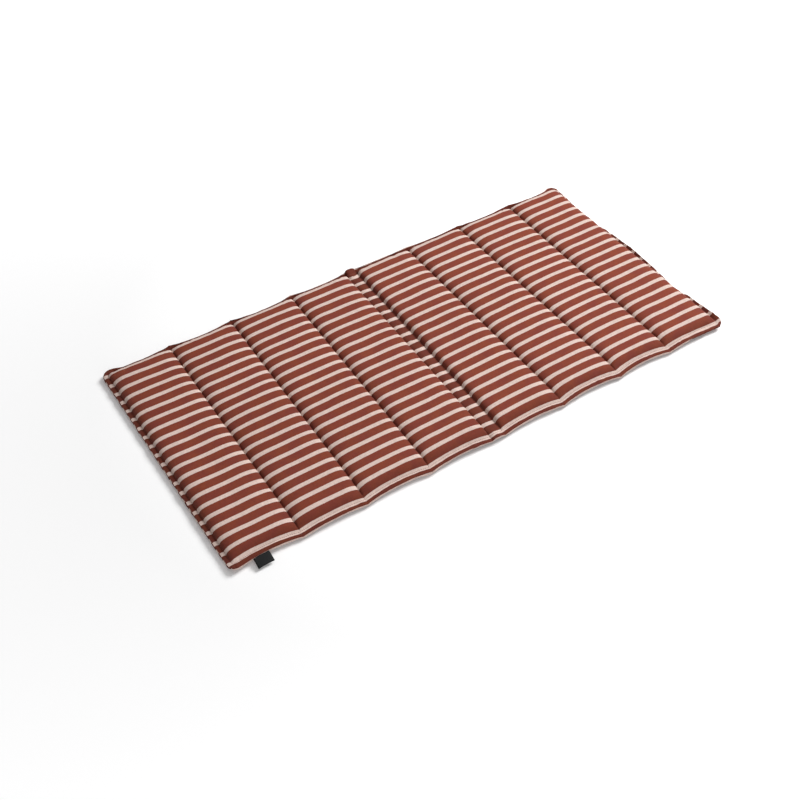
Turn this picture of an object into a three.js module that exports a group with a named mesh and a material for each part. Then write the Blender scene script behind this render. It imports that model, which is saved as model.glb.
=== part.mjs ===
// Folding seat cushion, lying open: two panels of striped canvas, sewn together and turned,
// quilted into filled channels on both sides of a narrow unfilled strip where it folds.
// Millimetres, +Z up, lying on z = 0. X runs along the long side and the front edge is at -Y.
import * as THREE from 'three';
import { mergeVertices } from 'three/addons/utils/BufferGeometryUtils.js';

// Lines that run from the back edge to the front edge, by their place along X at both ends.
// Sewn by hand, they are a little out of square.
const LINES = [
  { kind: 'fold', back: -527, front: -518 },
  { kind: 'topstitching', back: -517, front: -509 },
  { kind: 'seam', back: -393.5, front: -388 },
  { kind: 'seam', back: -266, front: -266.5 },
  { kind: 'seam', back: -138, front: -140 },
  { kind: 'strip seam', back: -15, front: -14.5 },
  { kind: 'strip seam', back: 7.5, front: 12 },
  { kind: 'seam', back: 129, front: 141 },
  { kind: 'seam', back: 254, front: 270 },
  { kind: 'seam', back: 381.5, front: 388 },
  { kind: 'topstitching', back: 500.5, front: 512.5 },
  { kind: 'fold', back: 509.5, front: 524 },
];

// What lies between one line and the next: how far the long edges are drawn in at its middle,
// how steeply the back border hangs there in degrees and what share of its width isn't rolled
// up, and how tight its shoulders are.
const CELLS = [
  { kind: 'border', backDraw: 0, frontDraw: 0, backHang: 0, backWidth: 1 },
  { kind: 'channel', backDraw: 3, frontDraw: 5.5, backHang: -50, backWidth: 0.36, left: 5.5, right: 4 },
  { kind: 'channel', backDraw: 4.5, frontDraw: 2.5, backHang: -50, backWidth: 0.38, left: 4, right: 5.5 },
  { kind: 'channel', backDraw: 5, frontDraw: 4.5, backHang: -50, backWidth: 0.38, left: 5.5, right: 5.5 },
  { kind: 'channel', backDraw: 3.5, frontDraw: 4, backHang: -50, backWidth: 0.4, left: 5.5, right: 5.5 },
  { kind: 'strip', backDraw: 5, frontDraw: 0, backHang: -30, backWidth: 1 },
  { kind: 'channel', backDraw: 1.5, frontDraw: 4.5, backHang: -50, backWidth: 0.55, left: 9, right: 4.8 },
  { kind: 'channel', backDraw: 2, frontDraw: 6, backHang: -50, backWidth: 0.45, left: 5, right: 4.8 },
  { kind: 'channel', backDraw: 3, frontDraw: 5.5, backHang: -50, backWidth: 0.42, left: 5, right: 4.8 },
  { kind: 'channel', backDraw: 3.5, frontDraw: 3, backHang: -50, backWidth: 0.4, left: 5, right: 6 },
  { kind: 'border', backDraw: 0, frontDraw: 0, backHang: 0, backWidth: 1 },
];
const CELL_STEPS = { border: 1, channel: 12, strip: 4 };
const DRAW_REACH = 60;

// Long edges, with their border of flat cloth outside the topstitching
const HALF_WIDTH = 256;
const LONG_BORDER = 11;
const CORNER_RADIUS = 17;

// How steeply the borders hang from the topstitching, in degrees, and what share of their width
// isn't rolled up. The back one is turned up, the right one is wavy.
const LEFT_HANG = [{ y: 0, degrees: 14, width: 1 }];
const RIGHT_HANG = [
  { y: -256, degrees: -4, width: 1 },
  { y: -225, degrees: -42, width: 0.85 },
  { y: -175, degrees: -35, width: 0.55 },
  { y: -140, degrees: 30, width: 0.6 },
  { y: -110, degrees: 45, width: 0.8 },
  { y: -80, degrees: 10, width: 0.6 },
  { y: -45, degrees: -35, width: 0.62 },
  { y: 0, degrees: -52, width: 0.8 },
  { y: 40, degrees: -40, width: 0.62 },
  { y: 75, degrees: 10, width: 0.7 },
  { y: 110, degrees: 58, width: 1 },
  { y: 160, degrees: 56, width: 1 },
  { y: 215, degrees: 25, width: 1 },
  { y: 256, degrees: 10, width: 1 },
];
const FRONT_HANG = { degrees: 2, width: 1 };
const BACK_CORNER_HANG = { degrees: 8, width: 1 };
const BACK_SEAM_HANG = { degrees: -50, width: 0.7 };

// Both panels and their turned-in edges, as thick as they lie where they are stitched
const CLOTH_STACK = 2.6;
const FOLD_INSET = 0.7;

// Heights: tops of the channels, and the middle of the cloth along the stitching
const CREST = 22;
const SEAM = 10.2;
const SHORT_EDGE = 9.7;
const CORNER = 10.2;
const LONG_EDGE_DIP = 7.7;
const CHANNEL_EDGE_LIFT = 2.5;

// The channels lie flat underneath where they are more than this share full
const FLAT_FROM = 0.78;

// Swell of the unfilled strip, which leans to its right seam
const STRIP_RISE = 3;
const STRIP_SAG = 1.2;
const STRIP_BACK_LIFT = 6;
const STRIP_FRONT_LIFT = 4;
const STRIP_LEAN = 0.7;

// Roundness of the sections: power of the run, root of the rise. The filling has slid to the
// back, so that the channels end bluntly there and slope off to the front.
const ACROSS_ROOT = 2;
const ARCH = { power: 2.2, root: 1 };
const BACK_END = { run: 17, power: 3, root: 1.8 };
const FRONT_END = { run: 30, power: 2, root: 1 };
const SHORT_EDGE_RUN = 27;

// Rows of the mesh from one long edge to the other
const END_ROWS = 6;
const LEVEL_ROWS = 10;
const STACK_ROWS = 2;

// Woven tab sewn into the front border
const TAB_LEFT = -476.5;
const TAB_WIDTH = 29;
const TAB_LENGTH = 18;
const TAB_THICKNESS = 1;
const TAB_GAP = 0.3;
const TAB_DROP = 3.8;
const TAB_BEND = 1.4;
const TAB_STEPS = 4;

const STITCHED = HALF_WIDTH - LONG_BORDER;

const { clamp, degToRad, lerp, smoothstep } = THREE.MathUtils;

// Place along X of one of the lines, at y.
function linePlace({ back, front }, y) {
  return lerp(back, front, (STITCHED - y) / (2 * STITCHED));
}

// Rounded section: 1 in the middle, falling to 0 at run = -1 and 1.
function crown(run, { power, root }) {
  return Math.max(0, 1 - Math.abs(run) ** power) ** (1 / root);
}

// A column of the mesh: part is the share of the way from its cell's left line to the right.
function meshColumn(cell, part) {
  const { kind } = CELLS[cell];
  const onFold = kind === 'border' && (cell === 0 || part === 1);
  return { cell, kind, part, across: 2 * part - 1, onFold };
}

// Columns of the mesh, closer together towards the lines.
function meshColumns() {
  const columns = [];
  CELLS.forEach(({ kind }, cell) => {
    const steps = CELL_STEPS[kind];
    for (let step = 0; step < steps; step++) {
      columns.push(meshColumn(cell, (1 - Math.cos((Math.PI * step) / steps)) / 2));
    }
  });
  columns.push(meshColumn(CELLS.length - 1, 1));
  return columns;
}

// A row of the mesh: along is 0 over the level middle and 1 at the topstitching.
function meshRow(y, end) {
  const along = clamp((Math.abs(y) - (STITCHED - end.run)) / end.run, 0, 1);
  return { y, along, end, onFold: Math.abs(y) === HALF_WIDTH };
}

// Rows from the middle to one long edge, closer together towards the topstitching.
function halfRows(side, end) {
  const level = STITCHED - end.run;
  const rows = [];
  for (let step = 1; step < LEVEL_ROWS / 2; step++) {
    rows.push(meshRow((side * 2 * level * step) / LEVEL_ROWS, end));
  }
  for (let step = 0; step <= END_ROWS; step++) {
    const along = Math.sin((Math.PI / 2) * (step / END_ROWS));
    rows.push(meshRow(side * (level + end.run * along), end));
  }
  return [...rows, meshRow(side * HALF_WIDTH, end)];
}

// Rows of the mesh, from the front edge to the back.
function meshRows() {
  return [...halfRows(-1, FRONT_END).reverse(), meshRow(0, BACK_END), ...halfRows(1, BACK_END)];
}

// Share of a cell's swell across it: an arch over a channel, a leaning hump over the strip.
function swell({ kind, part, across }) {
  if (kind === 'strip') {
    return Math.sin(Math.PI * part ** STRIP_LEAN);
  }
  return kind === 'channel' ? crown(across, ARCH) : 0;
}

// 0 on the topstitching of a short edge and outside it, 1 from an end slope's run inwards.
function insideShortEdge(x, y) {
  const toLeft = x - linePlace(LINES[1], y);
  const toRight = linePlace(LINES[LINES.length - 2], y) - x;
  return smoothstep(Math.min(toLeft, toRight), 0, SHORT_EDGE_RUN);
}

// Middle height of the cloth along the long edges, which dips at each seam.
function longEdgeHeight(column, x, y) {
  const stripLift = y > 0 ? STRIP_BACK_LIFT : STRIP_FRONT_LIFT;
  const lift = column.kind === 'strip' ? stripLift : CHANNEL_EDGE_LIFT;
  const edge = LONG_EDGE_DIP + lift * swell(column);
  return lerp(CORNER, edge, insideShortEdge(x, y));
}

// Middle height of the cloth where both panels meet.
function stitchHeight(column, row, x) {
  const inner = lerp(SHORT_EDGE, SEAM, insideShortEdge(x, row.y));
  return lerp(inner, longEdgeHeight(column, x, row.y), row.along ** 2);
}

// How full a channel is at a point, from 0 on the stitching to 1 on its crest.
function fullness(column, row) {
  const { left, right } = CELLS[column.cell];
  const shoulder = { power: column.across < 0 ? left : right, root: ACROSS_ROOT };
  return crown(column.across, shoulder) * crown(row.along, row.end);
}

// Height of a point of the top panel (side 1), the bottom panel (-1) or the outer fold (0),
// before its border hangs down.
function skinHeight(column, row, x, side) {
  const stitched = stitchHeight(column, row, x) + (side * CLOTH_STACK) / 2;
  if (column.kind === 'border') {
    return stitched;
  }
  if (column.kind === 'strip') {
    const reach = side > 0 ? STRIP_RISE : -STRIP_SAG;
    return stitched + reach * swell(column) * crown(row.along, row.end);
  }
  const full = fullness(column, row);
  if (side > 0) {
    return lerp(stitched, CREST, full);
  }
  return stitched * (1 - clamp(full / FLAT_FROM, 0, 1));
}

// A hang between two others.
function mixHangs(from, to, share) {
  return {
    degrees: lerp(from.degrees, to.degrees, share),
    width: lerp(from.width, to.width, share),
  };
}

// How a short edge's border hangs at y, eased from one row of its table to the next.
function shortEdgeHang(table, y) {
  const next = table.findIndex((row) => row.y > y);
  if (next <= 0) {
    return table[next === 0 ? 0 : table.length - 1];
  }
  const [from, to] = [table[next - 1], table[next]];
  return mixHangs(from, to, smoothstep(y, from.y, to.y));
}

// How a long edge's border hangs at a column.
function longEdgeHang(column, x, y) {
  if (y < 0) {
    return FRONT_HANG;
  }
  const { backHang, backWidth } = CELLS[column.cell];
  const middle = { degrees: backHang, width: backWidth };
  const inner = mixHangs(BACK_SEAM_HANG, middle, swell(column));
  return mixHangs(BACK_CORNER_HANG, inner, insideShortEdge(x, y));
}

// Turns what is outside the topstitching down about it, or up.
function hangBorders(place, column) {
  const [leftLine, rightLine] = [LINES[1], LINES[LINES.length - 2]];
  const outLeft = linePlace(leftLine, place.y) - place.x;
  const outRight = place.x - linePlace(rightLine, place.y);
  const outX = Math.max(outLeft, outRight, 0);
  const outY = Math.max(Math.abs(place.y) - STITCHED, 0);
  const hangX = shortEdgeHang(outLeft > 0 ? LEFT_HANG : RIGHT_HANG, place.y);
  const hangY = longEdgeHang(column, place.x, place.y);
  const [turnX, turnY] = [degToRad(hangX.degrees), degToRad(hangY.degrees)];
  return new THREE.Vector3(
    place.x - Math.sign(place.x) * outX * (1 - hangX.width * Math.cos(turnX)),
    place.y - Math.sign(place.y) * outY * (1 - hangY.width * Math.cos(turnY)),
    place.z - outX * hangX.width * Math.sin(turnX) - outY * hangY.width * Math.sin(turnY),
  );
}

// Rounds the corner between a short edge's fold and a long edge.
function roundCorner(x, y, foldX) {
  const outX = CORNER_RADIUS - Math.abs(foldX - x);
  const outY = CORNER_RADIUS - (HALF_WIDTH - Math.abs(y));
  if (outX <= 0 || outY <= 0) {
    return { x, y };
  }
  const trim = 1 - Math.max(outX, outY) / Math.hypot(outX, outY);
  return { x: x - Math.sign(foldX) * outX * trim, y: y - Math.sign(y) * outY * trim };
}

// How far a long edge is drawn in at a column and at y.
function drawIn(column, y) {
  const { backDraw, frontDraw } = CELLS[column.cell];
  const nearEdge = clamp(1 - (STITCHED - Math.abs(y)) / DRAW_REACH, 0, 1) ** 2;
  return (y > 0 ? backDraw : frontDraw) * swell(column) * nearEdge;
}

// One point of the cushion's skin.
function skinPoint(column, row, side) {
  const inset = side === 0 ? 0 : FOLD_INSET;
  const flatY = row.onFold ? row.y - Math.sign(row.y) * inset : row.y;
  const left = linePlace(LINES[column.cell], flatY);
  const right = linePlace(LINES[column.cell + 1], flatY);
  const lineX = lerp(left, right, column.part);
  const flatX = column.onFold ? lineX - Math.sign(lineX) * inset : lineX;
  const foldX = linePlace(flatX < 0 ? LINES[0] : LINES[LINES.length - 1], flatY);
  const { x, y } = roundCorner(flatX, flatY, foldX);
  const z = skinHeight(column, row, flatX, side);
  const hung = hangBorders(new THREE.Vector3(x, y, z), column);
  hung.y -= Math.sign(y) * drawIn(column, flatY);
  return hung;
}

// Shapes a closed box grid: shape gives each point's place from its three step numbers.
function shapedGrid(countX, countY, countZ, shape) {
  const box = new THREE.BoxGeometry(countX, countY, countZ, countX, countY, countZ);
  box.deleteAttribute('normal');
  box.deleteAttribute('uv');
  const grid = mergeVertices(box);
  const points = grid.attributes.position;
  for (let index = 0; index < points.count; index++) {
    const stepX = Math.round(points.getX(index) + countX / 2);
    const stepY = Math.round(points.getY(index) + countY / 2);
    const stepZ = Math.round(points.getZ(index) + countZ / 2);
    const place = shape(stepX, stepY, stepZ);
    points.setXYZ(index, place.x, place.y, place.z);
  }
  grid.computeVertexNormals();
  return grid;
}

function cushionGeometry() {
  const columns = meshColumns();
  const rows = meshRows();
  return shapedGrid(columns.length - 1, rows.length - 1, STACK_ROWS, (stepX, stepY, stepZ) =>
    skinPoint(columns[stepX], rows[stepY], stepZ - STACK_ROWS / 2),
  );
}

// The front fold of the border at x, on the first channel.
function frontFold(x) {
  const left = linePlace(LINES[1], -HALF_WIDTH);
  const right = linePlace(LINES[2], -HALF_WIDTH);
  const column = meshColumn(1, (x - left) / (right - left));
  const fold = hangBorders(
    new THREE.Vector3(x, -HALF_WIDTH, longEdgeHeight(column, x, -HALF_WIDTH)),
    column,
  );
  fold.y += drawIn(column, -HALF_WIDTH);
  return fold;
}

function tabGeometry() {
  return shapedGrid(TAB_STEPS, TAB_STEPS, 1, (stepX, stepY, stepZ) => {
    const x = TAB_LEFT + (TAB_WIDTH * stepX) / TAB_STEPS;
    const out = 1 - stepY / TAB_STEPS;
    const root = frontFold(x);
    const y = root.y - TAB_GAP - TAB_LENGTH * out;
    const z = root.z - TAB_DROP * out ** TAB_BEND + TAB_THICKNESS * (stepZ - 0.5);
    return new THREE.Vector3(x, y, z);
  });
}

const canvas = new THREE.MeshStandardMaterial({ color: 0x96503f, roughness: 0.92, metalness: 0 });
const wovenTape = new THREE.MeshStandardMaterial({ color: 0x14181a, roughness: 0.6, metalness: 0 });

const cushion = new THREE.Mesh(cushionGeometry(), canvas);
cushion.name = 'cushion';

const tab = new THREE.Mesh(tabGeometry(), wovenTape);
tab.name = 'side_tab';

// Centred over its own box, the tab's reach included.
const whole = new THREE.Group();
whole.add(cushion, tab);
const reach = new THREE.Box3().setFromObject(whole, true);
const middle = reach.getCenter(new THREE.Vector3());
whole.position.set(-middle.x, -middle.y, -reach.min.z);

export default whole;
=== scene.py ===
"""A folding seat cushion of striped canvas, lying open.

Two panels of canvas are sewn together, turned and quilted into filled channels, four on each
side of a narrow unfilled strip where the cushion folds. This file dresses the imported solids:
the sewn skin with its puckers, the rows of stitching, the side tab, and a pale studio.
Lengths are metres, +Z is up, and the front edge is at -Y.
"""
import math
from collections import namedtuple

import bmesh
import bpy
from bpy.props import FloatProperty, FloatVectorProperty, PointerProperty
from mathutils import Matrix, Vector, noise
from mathutils.bvhtree import BVHTree


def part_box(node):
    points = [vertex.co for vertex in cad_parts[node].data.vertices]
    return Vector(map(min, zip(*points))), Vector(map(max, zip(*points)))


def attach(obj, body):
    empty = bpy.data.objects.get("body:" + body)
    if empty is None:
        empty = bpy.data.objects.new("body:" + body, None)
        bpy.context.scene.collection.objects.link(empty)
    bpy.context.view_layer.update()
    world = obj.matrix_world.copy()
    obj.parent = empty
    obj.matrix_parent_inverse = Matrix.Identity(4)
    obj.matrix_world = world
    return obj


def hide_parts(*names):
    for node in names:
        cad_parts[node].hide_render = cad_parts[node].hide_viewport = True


bl_info = {
    "name": "Folding Seat Cushion",
    "version": (1, 0, 0),
    "blender": (4, 5, 0),
    "location": "View3D > Sidebar > Cushion",
    "description": "Sews a striped, quilted seat cushion around its packed solids",
    "category": "Object",
}

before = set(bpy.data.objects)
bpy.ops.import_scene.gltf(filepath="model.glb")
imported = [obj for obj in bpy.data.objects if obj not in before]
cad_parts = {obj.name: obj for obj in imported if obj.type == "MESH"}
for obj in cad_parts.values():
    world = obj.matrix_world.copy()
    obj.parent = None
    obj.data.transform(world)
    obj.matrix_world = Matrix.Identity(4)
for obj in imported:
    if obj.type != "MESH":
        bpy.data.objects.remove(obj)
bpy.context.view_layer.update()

MM = 0.001

# Lines that run from the back edge to the front edge, by their place along X at both ends.
# Sewn by hand, they are a little out of square.
Line = namedtuple("Line", "kind back front")
LINES = [
    Line("fold", -527 * MM, -518 * MM),
    Line("topstitching", -517 * MM, -509 * MM),
    Line("seam", -393.5 * MM, -388 * MM),
    Line("seam", -266 * MM, -266.5 * MM),
    Line("seam", -138 * MM, -140 * MM),
    Line("strip seam", -15 * MM, -14.5 * MM),
    Line("strip seam", 7.5 * MM, 12 * MM),
    Line("seam", 129 * MM, 141 * MM),
    Line("seam", 254 * MM, 270 * MM),
    Line("seam", 381.5 * MM, 388 * MM),
    Line("topstitching", 500.5 * MM, 512.5 * MM),
    Line("fold", 509.5 * MM, 524 * MM),
]

# What lies between one line and the next: how far the long edges are drawn in at its middle,
# how steeply the back border hangs there in degrees and what share of its width isn't rolled
# up, how tight its shoulders are, and how far the cloth was laid off square when sewn down.
Cell = namedtuple(
    "Cell", "kind back_draw front_draw back_hang back_width left right back_slip front_slip"
)
CELLS = [
    Cell("border", 0, 0, 0, 1, 0, 0, 5.5 * MM, 3 * MM),
    Cell("channel", 3 * MM, 5.5 * MM, -50, 0.36, 5.5, 4, 1.3 * MM, 0.5 * MM),
    Cell("channel", 4.5 * MM, 2.5 * MM, -50, 0.38, 4, 5.5, -0.7 * MM, 0),
    Cell("channel", 5 * MM, 4.5 * MM, -50, 0.38, 5.5, 5.5, -0.2 * MM, -0.2 * MM),
    Cell("channel", 3.5 * MM, 4 * MM, -50, 0.4, 5.5, 5.5, -1.0 * MM, -0.8 * MM),
    Cell("strip", 5 * MM, 0, -30, 1, 0, 0, -4.2 * MM, -1.2 * MM),
    Cell("channel", 1.5 * MM, 4.5 * MM, -50, 0.55, 9, 4.8, -1.8 * MM, 0),
    Cell("channel", 2 * MM, 6 * MM, -50, 0.45, 5, 4.8, -0.4 * MM, 0.5 * MM),
    Cell("channel", 3 * MM, 5.5 * MM, -50, 0.42, 5, 4.8, 0.8 * MM, 0.4 * MM),
    Cell("channel", 3.5 * MM, 3 * MM, -50, 0.4, 5, 6, -0.9 * MM, -1.9 * MM),
    Cell("border", 0, 0, 0, 1, 0, 0, 0, -1.5 * MM),
]

# Columns of the mesh over a cell of each kind
CELL_STEPS = {"border": 6, "channel": 28, "strip": 12}

# From the middle to the folds of the long edges, and to their topstitching. Then the run over
# which the cushion rises from a short edge, and how far inwards the long edges' stitching draws.
HALF_WIDTH = 256 * MM
LONG_BORDER = 11 * MM
STITCHED = HALF_WIDTH - LONG_BORDER
SHORT_EDGE_RUN = 27 * MM
DRAW_REACH = 60 * MM

# Heights of the middle of the cloth along the stitching
SEAM_HEIGHT = 10.2 * MM
SHORT_EDGE_HEIGHT = 9.7 * MM
CORNER_HEIGHT = 10.2 * MM
LONG_EDGE_DIP = 7.7 * MM
CHANNEL_EDGE_LIFT = 2.5 * MM
STRIP_BACK_LIFT = 6 * MM
STRIP_FRONT_LIFT = 4 * MM

# How steeply the borders hang from the topstitching, in degrees, and what share of their width
# isn't rolled up. The back one is turned up, the right one is wavy.
Hang = namedtuple("Hang", "y degrees width")
LEFT_HANG = [Hang(0, 14, 1)]
RIGHT_HANG = [
    Hang(-256 * MM, -4, 1),
    Hang(-225 * MM, -42, 0.85),
    Hang(-175 * MM, -35, 0.55),
    Hang(-140 * MM, 30, 0.6),
    Hang(-110 * MM, 45, 0.8),
    Hang(-80 * MM, 10, 0.6),
    Hang(-45 * MM, -35, 0.62),
    Hang(0, -52, 0.8),
    Hang(40 * MM, -40, 0.62),
    Hang(75 * MM, 10, 0.7),
    Hang(110 * MM, 58, 1),
    Hang(160 * MM, 56, 1),
    Hang(215 * MM, 25, 1),
    Hang(256 * MM, 10, 1),
]
FRONT_HANG = Hang(-HALF_WIDTH, 2, 1)
BACK_CORNER_HANG = Hang(HALF_WIDTH, 8, 1)
BACK_SEAM_HANG = Hang(HALF_WIDTH, -50, 0.7)

# The unfilled strip humps up a little, most of all near its left seam.
STRIP_RISE = 3 * MM
STRIP_SAG = 1.2 * MM
STRIP_LEAN = 0.7

# Roundness of the sections: power of the run, root of the rise. The filling has slid to the
# back, so that the channels end bluntly there and slope off to the front.
Roundness = namedtuple("Roundness", "power root")
End = namedtuple("End", "run power root")
ACROSS_ROOT = 2
ARCH = Roundness(2.2, 1)
BACK_END = End(17 * MM, 3, 1.8)
FRONT_END = End(30 * MM, 2, 1)

# The channels lie flat underneath where they are more than this share full.
FLAT_FROM = 0.78

# Both panels and their turned-in edges: pulled tight on the stitching, looser beside it
TIGHT_STACK = 1.9 * MM
LOOSE_STACK = 3.6 * MM
LOOSE_FROM = 0.45

# The turned edge, in steps from its middle up to the face of the border. The seam that joins
# the panels has rolled a little way up it.
TURNS = 4
TURN_STEP = 0.55 * MM
TURN_ROUND = 0.9 * MM
JOIN_TURN = 3
JOIN_DENT = 0.25 * MM

# Rows of the mesh between the end slopes, on each slope and on each long border. Steps are even
# at an evenness of 1, and bunched up towards the stitching at 0.
LEVEL_ROWS = 110
END_ROWS = 20
BORDER_ROWS = 7
EVENNESS = 0.16

# The bottom panel is cut from the same cloth, and its stripes meet the top's out of step.
TOP_STRIPES = -4.1 * MM
BOTTOM_STRIPES = -18 * MM

# How much deeper the cloth is turned in where it bunches at the strip's back end
BUNCHED = 5 * MM

# The small folds beside a row of stitching: their height as a share of the pucker, how far from
# the row they are highest, their wave lengths along X and Y, and their layer of noise
Folds = namedtuple("Folds", "share peak wave_x wave_y layer")
SEAM_FOLDS = (
    Folds(1, 5 * MM, 90 * MM, 15 * MM, 0),
    Folds(0.5, 12 * MM, 160 * MM, 31 * MM, 0.5),
)
END_FOLDS = (
    Folds(1, 4 * MM, 13 * MM, 80 * MM, 20),
    Folds(0.6, 9 * MM, 29 * MM, 120 * MM, 21),
)

# Lumps of filling, and how far from the stitching the channels are filled enough to have them
LUMPS = Folds(1, 30 * MM, 95 * MM, 120 * MM, 40)

# Layers of noise: the top panel's, the bottom panel's, and how far one is from the next
TOP_LAYER = 3
BOTTOM_LAYER = 11
LAYERS_APART = 7.3

# Raw noise keeps well inside -1 and 1.
NOISE_GAIN = 1.6

# The bottom panel isn't pushed out where it is lower than this.
LYING = 1 * MM

# Places along a row of stitching
SEAM_POINTS = 120
EDGE_POINTS = 160

# The side tab: where its left edge is, how far and how roundly it falls, how deep it is sewn in,
# how much its sides curl, and half the air between its layers
TAB_LEFT = -476.5 * MM
TAB_DROP = 3.8 * MM
TAB_BEND = 1.4
TAB_TUCK = 1.6 * MM
TAB_CURL = 0.5 * MM
TAB_SLACK = 0.06 * MM

# Steps of its mesh across it, along each layer and round its fold
TAPE_ACROSS = 14
TAPE_STEPS = 14
TAPE_TURN_STEPS = 6

# Share of a stitch that the thread shows between one needle hole and the next, and from how far
# off a row of stitches is put down on the cloth
STITCH_SHARE = 0.86
SEAT_DROP = 100 * MM

# From the cushion's middle, as it was cut, to its place in the frame
CUSHION_SHIFT = Vector(
    (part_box("side_tab")[0].x - TAB_LEFT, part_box("cushion")[0].y + HALF_WIDTH, 0)
)

# Yarn is 0.5 mm thick and the tape's ribs are 0.25 mm apart. They are drawn coarser, because
# they wouldn't show in the picture otherwise.
YARN = 1.2 * MM
RIB = 0.9 * MM

# How far sewing pulls the stripes from one side to the other, how ragged the yarn makes their
# edges, and how soft these are
PULLED = 4 * MM
RAGGED = 0.9 * MM
STRIPE_SOFT = 0.25 * MM

# Waves to the metre: the pull 100 mm, the dye's patches 24 mm and its drift 200 mm, the yarn's
# raggedness 1.4 mm, the thread's twist 0.7 mm, slubs about 10 mm long and 1.2 mm thick, first
# along the warp and then along the weft, lint 4 by 0.6 mm, and the floor's tone 670 mm
PULL_WAVES = 10.0
PATCH_WAVES = 42.0
DRIFT_WAVES = 5.0
RAGGED_WAVES = 700.0
TWIST_WAVES = 1400.0
SLUB_WAVES = ((90.0, 900.0, 1.0), (800.0, 110.0, 1.0))
LINT_WAVES = (1600.0, 250.0, 1.0)
FLOOR_WAVES = 1.5

# Both sets of slubs together, where the yarn is thin and where it is thick
SLUBS_THIN = 0.6
SLUBS_THICK = 1.4

# The floor: how far it reaches, and how far below the cushion it is, so that no face of the two
# coincides. Its glow rises between these distances from its middle.
FLOOR_REACH = 6
FLOOR_GAP = 0.1 * MM
GLOW_NEAR = 0.6
GLOW_FAR = 1.6
GLOW_RISE = 4

Lamp = namedtuple("Lamp", "name place target size")
KEY_LAMP = Lamp("right_softbox", (1.95, 0.2, 2.1), (0.1, 0, 0), 1.3)
TOP_LAMP = Lamp("top_softbox", (0.1, 0.0, 2.2), (0, 0, 0), 1.8)
FRONT_LAMP = Lamp("front_softbox", (-0.5, -1.9, 1.0), (0, -0.2, 0), 1.6)

# The camera: degrees round from the front edge, up from the floor and rolled; its distance
# from the point that it looks at; and its lens.
CAMERA_AZIMUTH = -32.23
CAMERA_RISE = 48.10
CAMERA_ROLL = -0.09
CAMERA_DISTANCE = 1.985
CAMERA_TARGET = CUSHION_SHIFT + Vector((-102.1 * MM, -93.3 * MM, 14 * MM))
CAMERA_LENS = 50.28


def colour(hex_code):
    """Linear RGB of an sRGB hex colour."""
    channels = [int(hex_code[at : at + 2], 16) / 255 for at in (0, 2, 4)]
    return [c / 12.92 if c <= 0.04045 else ((c + 0.055) / 1.055) ** 2.4 for c in channels]


def length(name, description, default):
    """A property that holds a length."""
    return FloatProperty(
        name=name, description=description, default=default, min=0, unit="LENGTH", precision=5
    )


def tint(name, description, hex_code):
    """A property that holds a colour."""
    return FloatVectorProperty(
        name=name, description=description, default=colour(hex_code), subtype="COLOR", min=0, max=1
    )


class CushionSizes(bpy.types.PropertyGroup):
    """Sizes and colours of the sewn cushion"""

    crest: length("Crest", "Height of a filled channel's top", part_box("cushion")[1].z)
    corner: length("Corner radius", "Radius of the cushion's corners", 17 * MM)
    pucker: length("Pucker", "Height of the small folds beside the stitching", 0.85 * MM)
    lump: length("Lump", "How unevenly the filling lies", 0.7 * MM)
    repeat: length("Stripe repeat", "From one light stripe to the next", 24 * MM)
    stripe: length("Stripe width", "Width of a light stripe", 7.9 * MM)
    stitch: length("Stitch", "Length of one stitch", 3.5 * MM)
    thread: length("Thread", "Thickness of the sewing thread", 0.62 * MM)
    ground: tint("Ground", "Brick red yarn, where its dye has browned", "8D422D")
    ground_cool: tint("Cool ground", "Brick red yarn, where its dye has kept its blue", "863C30")
    light: tint("Light stripe", "Natural yarn of the light stripes", "D5BEB4")
    sewing: tint("Sewing thread", "Brick red sewing thread", "7E382B")


class TabSizes(bpy.types.PropertyGroup):
    """Sizes and colour of the tab in the front border"""

    width: length("Width", "Along the cushion's edge", 29 * MM)
    reach: length("Reach", "How far the tab stands out of the border", 18 * MM)
    ply: length("Ply", "Thickness of the woven tape", 0.42 * MM)
    tape: tint("Tape", "Black woven tape", "0D0F10")


class StudioSettings(bpy.types.PropertyGroup):
    """Floor and light"""

    floor: tint("Floor", "White acrylic floor", "FAFAFA")
    glow: FloatProperty(name="Glow", description="Light through the floor", default=0.14, min=0)
    sky: FloatProperty(name="Fill", description="Light from all round", default=0.18, min=0)
    key: FloatProperty(name="Key", description="Softbox to the right", default=88, min=0, unit="POWER")
    top: FloatProperty(name="Top", description="Softbox overhead", default=7, min=0, unit="POWER")
    front: FloatProperty(name="Front", description="Softbox in front", default=7, min=0, unit="POWER")


def mix(start, end, share):
    return start + (end - start) * share


def smooth(share):
    """Eases from 0 to 1."""
    share = min(max(share, 0), 1)
    return share * share * (3 - 2 * share)


def line_place(line, y):
    """Place along X of one of the lines, at y."""
    return mix(line.back, line.front, (STITCHED - y) / (2 * STITCHED))


def crown(run, roundness):
    """Rounded section: 1 in the middle, falling to 0 at run = -1 and 1."""
    return max(0, 1 - abs(run) ** roundness.power) ** (1 / roundness.root)


# A place on the flat cloth, by its cell, the share of the way across it, and y. The shares
# called outside go from 0 on the topstitching to 1 on the fold.
Place = namedtuple("Place", "cell part y along outside_x outside_y")


def flat_place(cell, part, y):
    """Describes the place on the flat cloth at a share of a cell and at y."""
    run = (BACK_END if y > 0 else FRONT_END).run
    along = min(max((abs(y) - (STITCHED - run)) / run, 0), 1)
    outside_x = {0: 1 - part, len(CELLS) - 1: part}.get(cell, 0)
    outside_y = max(0, (abs(y) - STITCHED) / LONG_BORDER)
    return Place(cell, part, y, along, outside_x, outside_y)


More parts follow.
